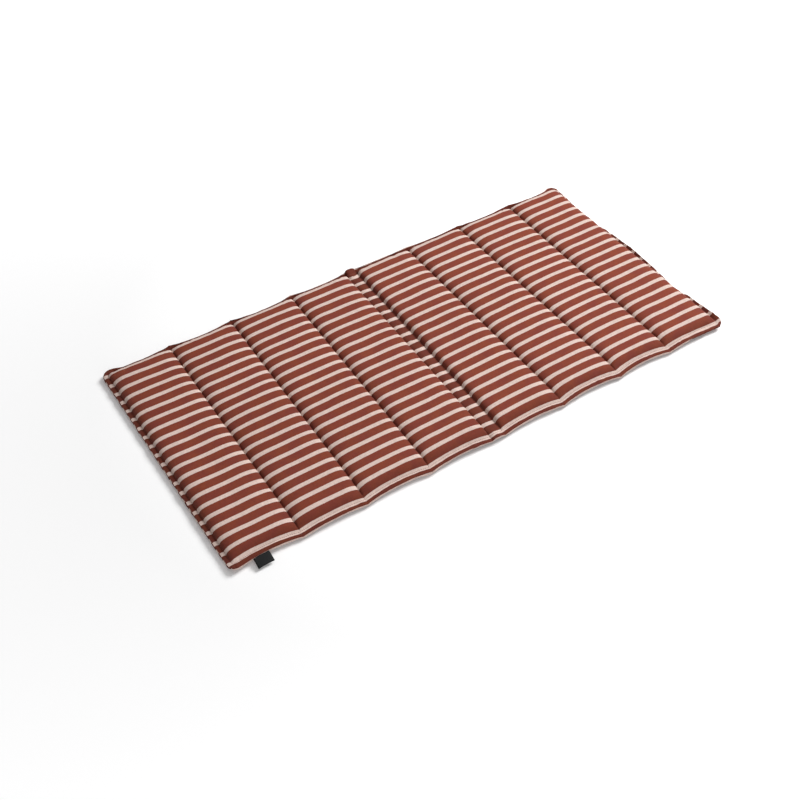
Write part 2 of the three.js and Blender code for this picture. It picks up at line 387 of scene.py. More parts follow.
def across_steps():
    """Cell and share of it for each column of the mesh, closer together towards the lines."""
    steps = []
    for cell, kind in enumerate(c.kind for c in CELLS):
        count = CELL_STEPS[kind]
        for step in range(count):
            even = step / count
            bunched = (1 - math.cos(math.pi * even)) / 2
            steps.append((cell, even if kind == "border" else mix(bunched, even, EVENNESS)))
    return steps + [(len(CELLS) - 1, 1.0)]


def half_steps(run):
    """Distance from the middle of each row of the mesh, closer together towards the edge."""
    level = STITCHED - run
    rows = [level * 2 * step / LEVEL_ROWS for step in range(1, LEVEL_ROWS // 2)]
    for step in range(END_ROWS + 1):
        even = step / END_ROWS
        rows.append(level + run * mix(math.sin(math.pi / 2 * even), even, EVENNESS))
    return rows + [STITCHED + LONG_BORDER * step / BORDER_ROWS for step in range(1, BORDER_ROWS + 1)]


def along_steps():
    """Place along Y of each row of the mesh."""
    front = [-y for y in reversed(half_steps(FRONT_END.run))]
    return front + [0.0] + half_steps(BACK_END.run)


def swell(place):
    """Share of a cell's swell across it: an arch over a channel, a leaning hump on the strip."""
    kind = CELLS[place.cell].kind
    if kind == "strip":
        return math.sin(math.pi * place.part**STRIP_LEAN)
    return crown(2 * place.part - 1, ARCH) if kind == "channel" else 0


def inside_short_edge(x, y):
    """0 on a short edge's topstitching and outside it, 1 from an end slope's run inwards."""
    to_left = x - line_place(LINES[1], y)
    to_right = line_place(LINES[-2], y) - x
    return smooth(min(to_left, to_right) / SHORT_EDGE_RUN)


def stitch_height(place, x):
    """Middle height of the cloth where both panels meet, which dips where a seam ends."""
    inside = inside_short_edge(x, place.y)
    strip_lift = STRIP_BACK_LIFT if place.y > 0 else STRIP_FRONT_LIFT
    lift = strip_lift if CELLS[place.cell].kind == "strip" else CHANNEL_EDGE_LIFT
    long_edge = mix(CORNER_HEIGHT, LONG_EDGE_DIP + lift * swell(place), inside)
    inner = mix(SHORT_EDGE_HEIGHT, SEAM_HEIGHT, inside)
    return mix(inner, long_edge, place.along**2)


def fullness(place):
    """How full a channel is at a place, from 0 on the stitching to 1 on its crest."""
    cell = CELLS[place.cell]
    if cell.kind != "channel":
        return 0
    shoulder = Roundness(cell.left if place.part < 0.5 else cell.right, ACROSS_ROOT)
    end = BACK_END if place.y > 0 else FRONT_END
    return crown(2 * place.part - 1, shoulder) * crown(place.along, end)


def skin_height(place, x, side, rise, crest):
    """Height of the top panel (side 1), the bottom panel (-1) or the turned edge between.

    The border doesn't hang down yet.
    """
    outside = max(place.outside_x, place.outside_y)
    stack = mix(TIGHT_STACK, LOOSE_STACK, smooth(outside / LOOSE_FROM))
    stitched = stitch_height(place, x) + side * rise * stack / 2
    if outside > 0:
        return stitched
    if CELLS[place.cell].kind == "strip":
        reach = STRIP_RISE if side > 0 else -STRIP_SAG
        end = BACK_END if place.y > 0 else FRONT_END
        return stitched + reach * swell(place) * crown(place.along, end)
    full = fullness(place)
    if side > 0:
        return mix(stitched, crest, full)
    return stitched * (1 - min(full / FLAT_FROM, 1))


def mix_hangs(start, end, share):
    """A hang between two others."""
    return Hang(*(mix(a, b, share) for a, b in zip(start, end)))


def short_edge_hang(table, y):
    """How a short edge's border hangs at y, eased from row to row of its table."""
    after = next((n for n, row in enumerate(table) if row.y > y), len(table))
    if after in (0, len(table)):
        return table[max(after - 1, 0)]
    start, end = table[after - 1 : after + 1]
    return mix_hangs(start, end, smooth((y - start.y) / (end.y - start.y)))


def long_edge_hang(place, x):
    """How a long edge's border hangs at a place."""
    if place.y < 0:
        return FRONT_HANG
    cell = CELLS[place.cell]
    middle = Hang(HALF_WIDTH, cell.back_hang, cell.back_width)
    inner = mix_hangs(BACK_SEAM_HANG, middle, swell(place))
    return mix_hangs(BACK_CORNER_HANG, inner, inside_short_edge(x, place.y))


def hang_borders(point, place):
    """Turns what is outside the topstitching down about it, or up."""
    out_left = line_place(LINES[1], point.y) - point.x
    out_right = point.x - line_place(LINES[-2], point.y)
    out_x = max(out_left, out_right, 0)
    out_y = max(abs(point.y) - STITCHED, 0)
    hang_x = short_edge_hang(LEFT_HANG if out_left > 0 else RIGHT_HANG, point.y)
    hang_y = long_edge_hang(place, point.x)
    turn_x, turn_y = math.radians(hang_x.degrees), math.radians(hang_y.degrees)
    drop = out_x * hang_x.width * math.sin(turn_x) + out_y * hang_y.width * math.sin(turn_y)
    return Vector(
        (
            point.x - math.copysign(out_x * (1 - hang_x.width * math.cos(turn_x)), point.x),
            point.y - math.copysign(out_y * (1 - hang_y.width * math.cos(turn_y)), point.y),
            point.z - drop,
        )
    )


def round_corner(x, y, fold_x, radius):
    """Rounds the corner between a short edge's fold and a long edge."""
    out_x = radius - abs(fold_x - x)
    out_y = radius - (HALF_WIDTH - abs(y))
    if out_x <= 0 or out_y <= 0:
        return x, y
    trim = 1 - max(out_x, out_y) / math.hypot(out_x, out_y)
    return x - math.copysign(out_x * trim, fold_x), y - math.copysign(out_y * trim, y)


def draw_in(place):
    """How far the stitching draws a long edge in, at a place."""
    cell = CELLS[place.cell]
    near_edge = min(max(1 - (STITCHED - abs(place.y)) / DRAW_REACH, 0), 1) ** 2
    return (cell.back_draw if place.y > 0 else cell.front_draw) * swell(place) * near_edge


def flat_x(place):
    """Place along X on the flat cloth."""
    left, right = (line_place(line, place.y) for line in LINES[place.cell : place.cell + 2])
    return mix(left, right, place.part)


def skin_point(place, side, rise, inset, sizes):
    """One point of the cushion's skin, as it lies when sewn and filled."""
    x = flat_x(place)
    y = place.y
    if place.outside_x == 1:
        x -= math.copysign(inset, x)
    if place.outside_y == 1:
        y -= math.copysign(inset, y)
    fold_x = line_place(LINES[0] if x < 0 else LINES[-1], y)
    x, y = round_corner(x, y, fold_x, sizes.corner)
    height = skin_height(place, flat_x(place), side, rise, sizes.crest)
    hung = hang_borders(Vector((x, y, height)), place)
    hung.y -= math.copysign(draw_in(place), place.y)
    return hung


def ring_point(place, ring, sizes):
    """One point of the skin. ring counts the steps of the turned edge up from its middle."""
    turned = math.pi / 2 * abs(ring) / TURNS
    dent = JOIN_DENT if ring == JOIN_TURN else 0
    inset = TURN_ROUND * (1 - math.cos(turned)) + dent
    return skin_point(place, math.copysign(1, ring), math.sin(turned), inset, sizes)


def slip(place):
    """How far the stripes lie off square at a place, between the middles of the cells."""
    share = (STITCHED - place.y) / (2 * STITCHED)
    here = place.cell + place.part - 0.5
    first = min(max(math.floor(here), 0), len(CELLS) - 2)
    left, right = (mix(c.back_slip, c.front_slip, share) for c in CELLS[first : first + 2])
    return mix(left, right, min(max(here - first, 0), 1))


def cut_place(place, ring, first_stripe):
    """Place on the cloth as it was cut, with what is turned in at the edges laid out flat."""
    x, y = flat_x(place), place.y
    turned = TURN_STEP * (ring + TURNS if first_stripe == BOTTOM_STRIPES else TURNS - ring)
    if place.outside_x == 1:
        x += math.copysign(turned, x)
    if place.outside_y == 1:
        y += math.copysign(turned, y)
    if CELLS[place.cell].kind == "strip" and y > 0:
        y -= BUNCHED * place.outside_y
    return x, y - first_stripe - slip(place)


def step_box(bm, across, along):
    """A closed box with a point for each step of the mesh, its sides as tall as the turned edge."""
    panel = bmesh.ops.create_grid(bm, x_segments=across, y_segments=along, size=0.5)["verts"]
    bmesh.ops.scale(bm, vec=(across, along, 1), verts=panel)
    bmesh.ops.translate(bm, vec=(across / 2, along / 2, TURNS), verts=panel)
    edge = [e for e in bm.edges if e.is_boundary]
    for _ in range(TURNS):
        turned = bmesh.ops.extrude_edge_only(bm, edges=edge)["geom"]
        bmesh.ops.translate(
            bm, vec=(0, 0, -1), verts=[v for v in turned if isinstance(v, bmesh.types.BMVert)]
        )
        edge = [e for e in turned if isinstance(e, bmesh.types.BMEdge) and e.is_boundary]
    bmesh.ops.mirror(bm, geom=bm.verts[:] + bm.edges[:] + bm.faces[:], axis="Z", merge_dist=0.01)
    bmesh.ops.recalc_face_normals(bm, faces=bm.faces)


def new_piece(name, bm, smooth_faces=True):
    """Makes a bmesh an object at the origin."""
    mesh = bpy.data.meshes.new(name)
    bm.to_mesh(mesh)
    bm.free()
    for face in mesh.polygons:
        face.use_smooth = smooth_faces
    piece = bpy.data.objects.new(name, mesh)
    bpy.context.scene.collection.objects.link(piece)
    return piece


def sewn_panels(sizes):
    """Both panels as they lie when sewn and filled, with the flat cloth as their UV map."""
    across = across_steps()
    rows = along_steps()
    bm = bmesh.new()
    step_box(bm, len(across) - 1, len(rows) - 1)
    bm.verts.index_update()
    steps = [tuple(round(c) for c in vert.co) for vert in bm.verts]
    places = [flat_place(*across[step_x], rows[step_y]) for step_x, step_y, _ in steps]
    uv = bm.loops.layers.uv.new("flat_cloth")
    flat = bm.verts.layers.float_vector.new("flat_place")
    groove_shade_mask = bm.verts.layers.float.new("groove_shade_mask")
    for face in bm.faces:
        on_top = face.calc_center_median().z > JOIN_TURN
        first_stripe = TOP_STRIPES if on_top else BOTTOM_STRIPES
        for loop in face.loops:
            index = loop.vert.index
            loop[uv].uv = cut_place(places[index], steps[index][2], first_stripe)
    for vert, place, (_, _, ring) in zip(bm.verts, places, steps):
        vert[flat] = (flat_x(place), place.y, ring)
        # Painted shade: how full the top panel is here. It is 0 on the stitching, on the borders and
        # on the bottom panel, and it darkens the red yarn there.
        vert[groove_shade_mask] = fullness(place) if ring > 0 else 0
        vert.co = ring_point(place, ring, sizes) + CUSHION_SHIFT
    bmesh.ops.recalc_face_normals(bm, faces=bm.faces)
    return new_piece("filled_cushion", bm)


def apply_modifiers(piece):
    """Puts what a piece's modifiers make into its mesh."""
    depsgraph = bpy.context.evaluated_depsgraph_get()
    mesh = bpy.data.meshes.new_from_object(
        piece.evaluated_get(depsgraph), preserve_all_data_layers=True, depsgraph=depsgraph
    )
    piece.modifiers.clear()
    old = piece.data
    piece.data = mesh
    bpy.data.meshes.remove(old)
    mesh.name = piece.name


def ripple(x, y, wave_x, wave_y, layer):
    """Soft noise from about -1 to 1, with its own wave length both ways."""
    place = Vector((2 * x / wave_x, 2 * y / wave_y, LAYERS_APART * layer))
    return NOISE_GAIN * noise.noise(place)


def beside(gap, peak):
    """A small fold's height beside stitching: none on it, most at the peak, then dying away."""
    return gap / peak * math.exp(1 - gap / peak)


def fold_height(table, gap, x, y, layer):
    """Height of the small folds at a gap from a row of stitching, as a share of the pucker."""
    return sum(
        folds.share
        * beside(gap, folds.peak)
        * ripple(x, y, folds.wave_x, folds.wave_y, layer + folds.layer)
        for folds in table
    )


def cloth_relief(x, y, side, sizes):
    """How far puckers and uneven filling lift the cloth, at a flat place."""
    gaps = [abs(x - line_place(line, y)) for line in LINES[1:-1]]
    seam_gap = min(gaps)
    end_gap = abs(STITCHED - abs(y))
    layer = TOP_LAYER if side > 0 else BOTTOM_LAYER
    seam_folds = fold_height(SEAM_FOLDS, seam_gap, x, y, layer + gaps.index(seam_gap))
    end_folds = fold_height(END_FOLDS, end_gap, x, y, layer)
    filled = min(1, seam_gap / LUMPS.peak) * min(1, end_gap / LUMPS.peak)
    lumps = filled * ripple(x, y, LUMPS.wave_x, LUMPS.wave_y, layer + LUMPS.layer)
    return sizes.pucker * (seam_folds + end_folds) + sizes.lump * lumps


def add_relief(piece, sizes):
    """Moves the skin in and out along its normals."""
    mesh = piece.data
    flat = mesh.attributes["flat_place"].data
    normals = [vert.normal.copy() for vert in mesh.vertices]
    for vert, normal in zip(mesh.vertices, normals):
        x, y, ring = flat[vert.index].vector
        lift = cloth_relief(x, y, ring, sizes)
        if ring < 0 and vert.co.z < LYING:
            lift = min(lift, 0)
        vert.co += normal * lift
        vert.co.z = max(vert.co.z, 0)
    mesh.update()


def seam_points(line, sizes):
    """Seen from above, the way of a seam from the front topstitching to the back."""
    cell = LINES.index(line)
    ys = [mix(-STITCHED, STITCHED, step / SEAM_POINTS) for step in range(SEAM_POINTS + 1)]
    return [skin_point(flat_place(cell, 0, y), 1, 1, 0, sizes) for y in ys]


def border_points(sizes):
    """Seen from above, the way of the topstitching all round."""
    front = [flat_place(c, p, -STITCHED) for c, p in across_steps() if 0 < c < len(CELLS) - 1]
    ys = [mix(-STITCHED, STITCHED, step / EDGE_POINTS) for step in range(EDGE_POINTS + 1)]
    right = [flat_place(len(CELLS) - 1, 0, y) for y in ys]
    back = [place._replace(y=STITCHED) for place in reversed(front)]
    left = [flat_place(1, 0, -y) for y in ys]
    return [skin_point(p, 1, 1, 0, sizes) for p in front + right + back + left]


def seated(way, down, skin):
    """A way seen from above, put down on the skin from above (-1) or up on it from below (1)."""
    seats = []
    for point in way:
        over = point + CUSHION_SHIFT - Vector((0, 0, SEAT_DROP * down))
        seat = skin.ray_cast(over, Vector((0, 0, down)))[0]
        if seat is None:
            raise RuntimeError(f"no cloth under the stitching at {tuple(point)}")
        seats.append(seat)
    return seats


def stitch_row(seats, sizes):
    """One row of lockstitch, each stitch half sunk in the cloth."""
    way = bpy.data.curves.new("stitching_way", "CURVE")
    way.dimensions = "3D"
    way.twist_mode = "Z_UP"
    spline = way.splines.new("POLY")
    spline.points.add(len(seats) - 1)
    for point, seat in zip(spline.points, seats):
        point.co = (*seat, 1)
    guide = bpy.data.objects.new("stitching_way", way)
    bpy.context.scene.collection.objects.link(guide)
    bm = bmesh.new()
    lay_down = Matrix.Rotation(math.pi / 2, 4, "Y")
    size = Matrix.Diagonal((STITCH_SHARE * sizes.stitch, sizes.thread, sizes.thread, 1))
    start = Matrix.Translation((sizes.stitch / 2, 0, 0))
    bmesh.ops.create_uvsphere(
        bm, u_segments=6, v_segments=4, radius=0.5, matrix=start @ size @ lay_down
    )
    row = new_piece("stitching_row", bm)
    repeat = row.modifiers.new("one after another", "ARRAY")
    repeat.use_relative_offset = False
    repeat.use_constant_offset = True
    repeat.constant_offset_displace = (sizes.stitch, 0, 0)
    repeat.count = int(sum((b - a).length for a, b in zip(seats, seats[1:])) / sizes.stitch)
    bend = row.modifiers.new("along the way", "CURVE")
    bend.object = guide
    apply_modifiers(row)
    bpy.data.objects.remove(guide)
    return row


def stitch_rows(name, ways, skin, sizes):
    """Rows of lockstitch on both faces of the cushion, as one piece."""
    together = bmesh.new()
    for way in ways:
        for down in (-1, 1):
            row = stitch_row(seated(way, down, skin), sizes)
            together.from_mesh(row.data)
            bpy.data.objects.remove(row)
    return new_piece(name, together)


def front_fold(x, sizes):
    """The front edge of the border at x on the first channel, on the flat cloth."""
    left, right = (line_place(line, -HALF_WIDTH) for line in LINES[1:3])
    place = flat_place(1, (x - left) / (right - left), -HALF_WIDTH)
    return skin_point(place, 1, 0, 0, sizes)


def tape_steps(tab):
    """Along the tape from its upper end: how far out it is, and how high over its middle."""
    apart = tab.ply / 2 + TAB_SLACK
    out = [mix(-TAB_TUCK, tab.reach - apart, step / TAPE_STEPS) for step in range(TAPE_STEPS)]
    turn = [math.pi * step / TAPE_TURN_STEPS for step in range(TAPE_TURN_STEPS + 1)]
    upper = [(at, apart) for at in out]
    end = [(tab.reach - apart + apart * math.sin(t), apart * math.cos(t)) for t in turn]
    return upper + end + [(at, -apart) for at in reversed(out)]


def folded_tab(tab, sizes):
    """A woven tape, folded double and sewn into the front border."""
    steps = tape_steps(tab)
    count = len(steps) - 1
    bm = bmesh.new()
    bmesh.ops.create_grid(bm, x_segments=TAPE_ACROSS, y_segments=count, size=0.5)
    bmesh.ops.scale(bm, vec=(TAPE_ACROSS, count, 1), verts=bm.verts)
    bmesh.ops.translate(bm, vec=(TAPE_ACROSS / 2, count / 2, 0), verts=bm.verts)
    uv = bm.loops.layers.uv.new("flat_tape")
    gone = [0.0]
    for (out, up), (next_out, next_up) in zip(steps, steps[1:]):
        gone.append(gone[-1] + math.hypot(next_out - out, next_up - up))
    for face in bm.faces:
        for loop in face.loops:
            step_x, step_y = round(loop.vert.co.x), round(loop.vert.co.y)
            loop[uv].uv = (tab.width * step_x / TAPE_ACROSS, gone[step_y])
    for vert in bm.verts:
        share = vert.co.x / TAPE_ACROSS
        out, up = steps[round(vert.co.y)]
        root = front_fold(TAB_LEFT + tab.width * share, sizes)
        fallen = max(out, 0) / tab.reach
        curl = TAB_CURL * (2 * share - 1) ** 2 * fallen
        drop = TAB_DROP * fallen**TAB_BEND + curl
        vert.co = root + Vector((0, -out, up - drop)) + CUSHION_SHIFT
    bmesh.ops.recalc_face_normals(bm, faces=bm.faces)
    bmesh.ops.solidify(bm, geom=bm.faces[:], thickness=tab.ply)
    return new_piece("folded_side_tab", bm)


def add_node(tree, kind, inputs=None, **settings):
    """Adds a node with its settings. Each input is a value, or a socket that is linked to it."""
    node = tree.nodes.new(kind)
    for name, value in settings.items():
        setattr(node, name, value)
    for name, value in (inputs or {}).items():
        if isinstance(value, bpy.types.NodeSocket):
            tree.links.new(value, node.inputs[name])
        else:
            node.inputs[name].default_value = value
    return node


def new_material(name):
    """A material with its principled shader."""
    material = bpy.data.materials.new(name)
    material.use_nodes = True
    return material, material.node_tree, material.node_tree.nodes["Principled BSDF"]


def striped_canvas(sizes):
    """Plain-woven canvas: warp stripes in brick red and natural over a darker weft.

    The eye sees a matt cloth with a faint grain, flecks where the yarn is thick, and stripes
    whose edges follow the yarn.
    """
    material, tree, shader = new_material("striped_canvas_plain_weave")
    cloth = add_node(tree, "ShaderNodeUVMap", uv_map="flat_cloth")
    apart = add_node(tree, "ShaderNodeSeparateXYZ", {"Vector": cloth.outputs[0]})
    warp_run, weft_run = apart.outputs[0], apart.outputs[1]

    # The cloth is pulled a little out of line by the sewing.
    pull = add_node(
        tree, "ShaderNodeTexNoise", {"Vector": cloth.outputs[0], "Scale": PULL_WAVES, "Detail": 2.0}
    )
    pulled = add_node(
        tree,
        "ShaderNodeMath",
        {0: pull.outputs[0], 1: PULLED, 2: weft_run},
        operation="MULTIPLY_ADD",
    )
    centred = add_node(
        tree, "ShaderNodeMath", {0: pulled.outputs[0], 1: PULLED / 2}, operation="SUBTRACT"
    )
    yarn_edge = add_node(
        tree, "ShaderNodeTexNoise", {"Vector": cloth.outputs[0], "Scale": RAGGED_WAVES, "Detail": 1.0}
    )
    ragged = add_node(
        tree,
        "ShaderNodeMath",
        {0: yarn_edge.outputs[0], 1: RAGGED, 2: centred.outputs[0]},
        operation="MULTIPLY_ADD",
    )
    from_stripe = add_node(
        tree, "ShaderNodeMath", {0: ragged.outputs[0], 1: sizes.repeat / 2}, operation="PINGPONG"
    )
    stripe = add_node(
        tree,
        "ShaderNodeMapRange",
        {
            "Value": from_stripe.outputs[0],
            "From Min": sizes.stripe / 2 + STRIPE_SOFT,
            "From Max": sizes.stripe / 2 - STRIPE_SOFT,
        },
        interpolation_type="SMOOTHSTEP",
    )

    # Plain weave: every yarn goes over one and under the next.
    over = add_node(
        tree, "ShaderNodeMath", {0: warp_run, 1: math.pi / YARN}, operation="MULTIPLY"
    )
    under = add_node(
        tree, "ShaderNodeMath", {0: weft_run, 1: math.pi / YARN}, operation="MULTIPLY"
    )
    over_wave = add_node(tree, "ShaderNodeMath", {0: over.outputs[0]}, operation="SINE")
    under_wave = add_node(tree, "ShaderNodeMath", {0: under.outputs[0]}, operation="SINE")
    weave = add_node(
        tree,
        "ShaderNodeMath",
        {0: over_wave.outputs[0], 1: under_wave.outputs[0]},
        operation="MULTIPLY",
    )

    # Slubs: thick places in the yarn, long along the warp and along the weft
    slub_sets = []
    for waves in SLUB_WAVES:
        stretched = add_node(
            tree, "ShaderNodeMapping", {"Vector": cloth.outputs[0], "Scale": waves}
        )
        slub_sets.append(
            add_node(
                tree,
                "ShaderNodeTexNoise",
                {"Vector": stretched.outputs[0], "Scale": 1.0, "Detail": 2.0, "Roughness": 0.6},
            )
        )
    slubs = add_node(
        tree,
        "ShaderNodeMath",
        {0: slub_sets[0].outputs[0], 1: slub_sets[1].outputs[0]},
        operation="ADD",
    )
    slub_shade = add_node(
        tree,
        "ShaderNodeMapRange",
        {
            "Value": slubs.outputs[0],
            "From Min": SLUBS_THIN,
            "From Max": SLUBS_THICK,
            "To Min": 0.8,
            "To Max": 1.2,
        },
    )

    # The dye drifts over the length of the cloth. The red yarn is painted darker where the cushion is
    # less full, most of all in the grooves, on the borders and underneath: painted shade. In patches
    # its dye has browned or kept its blue.
    drift = add_node(
        tree, "ShaderNodeTexNoise", {"Vector": cloth.outputs[0], "Scale": DRIFT_WAVES, "Detail": 2.0}
    )
    drift_shade = add_node(
        tree, "ShaderNodeMapRange", {"Value": drift.outputs[0], "To Min": 0.93, "To Max": 1.07}
    )
    # Painted shade: the red yarn is darkest where the cushion is least full.
    groove_shade_mask = add_node(tree, "ShaderNodeAttribute", attribute_name="groove_shade_mask")
    painted_groove_shade = add_node(
        tree, "ShaderNodeMapRange", {"Value": groove_shade_mask.outputs["Fac"], "To Min": 0.56, "To Max": 0.88}
    )
    shade = add_node(
        tree,
        "ShaderNodeMath",
        {0: slub_shade.outputs[0], 1: drift_shade.outputs[0]},
        operation="MULTIPLY",
    )
    patches = add_node(
        tree, "ShaderNodeTexNoise", {"Vector": cloth.outputs[0], "Scale": PATCH_WAVES, "Detail": 4.0}
    )
    patch_share = add_node(
        tree, "ShaderNodeMapRange", {"Value": patches.outputs[0], "From Min": 0.35, "From Max": 0.65}
    )
    dyed = add_node(
        tree,
        "ShaderNodeMix",
        {0: patch_share.outputs[0], 6: (*sizes.ground, 1), 7: (*sizes.ground_cool, 1)},
        data_type="RGBA",
    )
    red_yarn = add_node(
        tree,
        "ShaderNodeVectorMath",
        {0: dyed.outputs[2], 1: painted_groove_shade.outputs[0]},
        operation="MULTIPLY",
    )

    # Painted light and shade: the natural yarn is painted lighter towards the left and darker towards
    # the right, which evens out the light of the softbox to the right.
    painted_side_light = add_node(
        tree,
        "ShaderNodeMapRange",
        {"Value": warp_run, "From Min": -0.5, "From Max": 0.5, "To Min": 1.13, "To Max": 0.95},
    )
    light_yarn = add_node(
        tree,
        "ShaderNodeVectorMath",
        {0: tuple(sizes.light), 1: painted_side_light.outputs[0]},
        operation="MULTIPLY",
    )
    yarns = add_node(
        tree,
        "ShaderNodeMix",
        {0: stripe.outputs[0], 6: red_yarn.outputs[0], 7: light_yarn.outputs[0]},
        data_type="RGBA",
    )
    shaded = add_node(
        tree, "ShaderNodeVectorMath", {0: yarns.outputs[2], 1: shade.outputs[0]}, operation="MULTIPLY"
    )
    tree.links.new(shaded.outputs[0], shader.inputs["Base Color"])

    # Crossing yarn scatters light, so the cloth is matt, and a little more so where the yarn is thick.
    rough = add_node(
        tree,
        "ShaderNodeMapRange",
        {
            "Value": slubs.outputs[0],
            "From Min": SLUBS_THIN,
            "From Max": SLUBS_THICK,
            "To Min": 0.82,
            "To Max": 0.96,
        },
    )
    tree.links.new(rough.outputs[0], shader.inputs["Roughness"])
    height = add_node(
        tree,
        "ShaderNodeMath",
        {0: slubs.outputs[0], 1: 0.8, 2: weave.outputs[0]},
        operation="MULTIPLY_ADD",
    )
    bump = add_node(
        tree,
        "ShaderNodeBump",
        {"Height": height.outputs[0], "Strength": 0.5, "Distance": 0.25 * MM},
    )
    tree.links.new(bump.outputs[0], shader.inputs["Normal"])
    shader.inputs["IOR"].default_value = 1.46
    shader.inputs["Specular IOR Level"].default_value = 0.25
    shader.inputs["Sheen Weight"].default_value = 0.12
    shader.inputs["Sheen Roughness"].default_value = 0.55
    shader.inputs["Sheen Tint"].default_value = (*colour("E8B8A4"), 1)
    return material


def sewing_thread(sizes):
    """Twisted polyester thread: small bright and dark turns along each stitch."""
    material, tree, shader = new_material("twisted_polyester_thread")
    place = add_node(tree, "ShaderNodeTexCoord")
    twist = add_node(
        tree,
        "ShaderNodeTexNoise",
        {"Vector": place.outputs["Object"], "Scale": TWIST_WAVES, "Detail": 1.0},
    )
    shade = add_node(
        tree, "ShaderNodeMapRange", {"Value": twist.outputs[0], "To Min": 0.75, "To Max": 1.25}
    )
    shaded = add_node(
        tree,
        "ShaderNodeVectorMath",
        {0: tuple(sizes.sewing), 1: shade.outputs[0]},
        operation="MULTIPLY",
    )
    tree.links.new(shaded.outputs[0], shader.inputs["Base Color"])
    bump = add_node(
        tree,
        "ShaderNodeBump",
        {"Height": twist.outputs[0], "Strength": 0.6, "Distance": 0.1 * MM},
    )
    tree.links.new(bump.outputs[0], shader.inputs["Normal"])
    shader.inputs["Roughness"].default_value = 0.6
    shader.inputs["Sheen Weight"].default_value = 0.2
    return material


def woven_tape(tab):
    """Black satin-woven polyester tape: fine ribs across it, a soft gleam and a little lint."""
    material, tree, shader = new_material("black_satin_woven_tape")
    tape = add_node(tree, "ShaderNodeUVMap", uv_map="flat_tape")
    apart = add_node(tree, "ShaderNodeSeparateXYZ", {"Vector": tape.outputs[0]})
    turned = add_node(
        tree,
        "ShaderNodeMath",
        {0: apart.outputs[1], 1: 2 * math.pi / RIB},
        operation="MULTIPLY",
    )
    ribs = add_node(tree, "ShaderNodeMath", {0: turned.outputs[0]}, operation="SINE")
    long_yarn = add_node(
        tree, "ShaderNodeMapping", {"Vector": tape.outputs[0], "Scale": LINT_WAVES}
    )
    lint = add_node(
        tree, "ShaderNodeTexNoise", {"Vector": long_yarn.outputs[0], "Scale": 1.0, "Detail": 3.0}
    )
    height = add_node(
        tree,
        "ShaderNodeMath",
        {0: ribs.outputs[0], 1: 0.35, 2: lint.outputs[0]},
        operation="MULTIPLY_ADD",
    )
    shade = add_node(
        tree,
        "ShaderNodeMapRange",
        {"Value": height.outputs[0], "To Min": 0.6, "To Max": 1.5},
    )
    shaded = add_node(
        tree,
        "ShaderNodeVectorMath",
        {0: tuple(tab.tape), 1: shade.outputs[0]},
        operation="MULTIPLY",
    )
    tree.links.new(shaded.outputs[0], shader.inputs["Base Color"])
    rough = add_node(
        tree,
        "ShaderNodeMapRange",
        {"Value": lint.outputs[0], "To Min": 0.42, "To Max": 0.7},
    )
    tree.links.new(rough.outputs[0], shader.inputs["Roughness"])
    bump = add_node(
        tree,
        "ShaderNodeBump",
        {"Height": height.outputs[0], "Strength": 0.5, "Distance": 0.12 * MM},
    )
    tree.links.new(bump.outputs[0], shader.inputs["Normal"])
    shader.inputs["Specular IOR Level"].default_value = 0.25
    shader.inputs["Sheen Weight"].default_value = 0.02
    return material


def pale_floor(studio):
    """Matt white acrylic sheet, lit from below: the faintest change of tone, brighter far off."""
    material, tree, shader = new_material("lit_matt_white_acrylic")
    place = add_node(tree, "ShaderNodeTexCoord")
    tone = add_node(
        tree,
        "ShaderNodeTexNoise",
        {"Vector": place.outputs["Object"], "Scale": FLOOR_WAVES, "Detail": 2.0},
    )
    shade = add_node(
        tree, "ShaderNodeMapRange", {"Value": tone.outputs[0], "To Min": 0.985, "To Max": 1.0}
    )
    shaded = add_node(
        tree,
        "ShaderNodeVectorMath",
        {0: tuple(studio.floor), 1: shade.outputs[0]},
        operation="MULTIPLY",
    )
    tree.links.new(shaded.outputs[0], shader.inputs["Base Color"])
    shader.inputs["Roughness"].default_value = 0.95
    shader.inputs["Specular IOR Level"].default_value = 0.1
    from_middle = add_node(
        tree, "ShaderNodeVectorMath", {0: place.outputs["Object"]}, operation="LENGTH"
    )
    glow = add_node(
        tree,
        "ShaderNodeMapRange",
        {
            "Value": from_middle.outputs["Value"],
            "From Min": GLOW_NEAR,
            "From Max": GLOW_FAR,
            "To Min": studio.glow,
            "To Max": GLOW_RISE * studio.glow,
        },
    )
    shader.inputs["Emission Color"].default_value = (1, 1, 1, 1)
    tree.links.new(glow.outputs[0], shader.inputs["Emission Strength"])
    return material


def white_room(studio):
    """White walls far away. They give less light than they show."""
    world = bpy.data.worlds.new("white_room")
    world.use_nodes = True
    walls = world.node_tree.nodes["Background"]
    seen = add_node(world.node_tree, "ShaderNodeLightPath")
    strength = add_node(
        world.node_tree,
        "ShaderNodeMath",
        {0: seen.outputs["Is Camera Ray"], 1: studio.sky},
        operation="MAXIMUM",
    )
    world.node_tree.links.new(strength.outputs[0], walls.inputs["Strength"])
    walls.inputs["Color"].default_value = (*colour("FBFBFC"), 1)
    return world


def add_lamp(lamp, power):
    """A square softbox, turned to its target."""
    light = bpy.data.lights.new(lamp.name, "AREA")
    light.shape = "SQUARE"
    light.size = lamp.size
    light.energy = power
    holder = bpy.data.objects.new(lamp.name, light)
    holder.location = lamp.place
    facing = Vector(lamp.target) - Vector(lamp.place)
    holder.rotation_euler = facing.to_track_quat("-Z", "Y").to_euler()
    bpy.context.scene.collection.objects.link(holder)


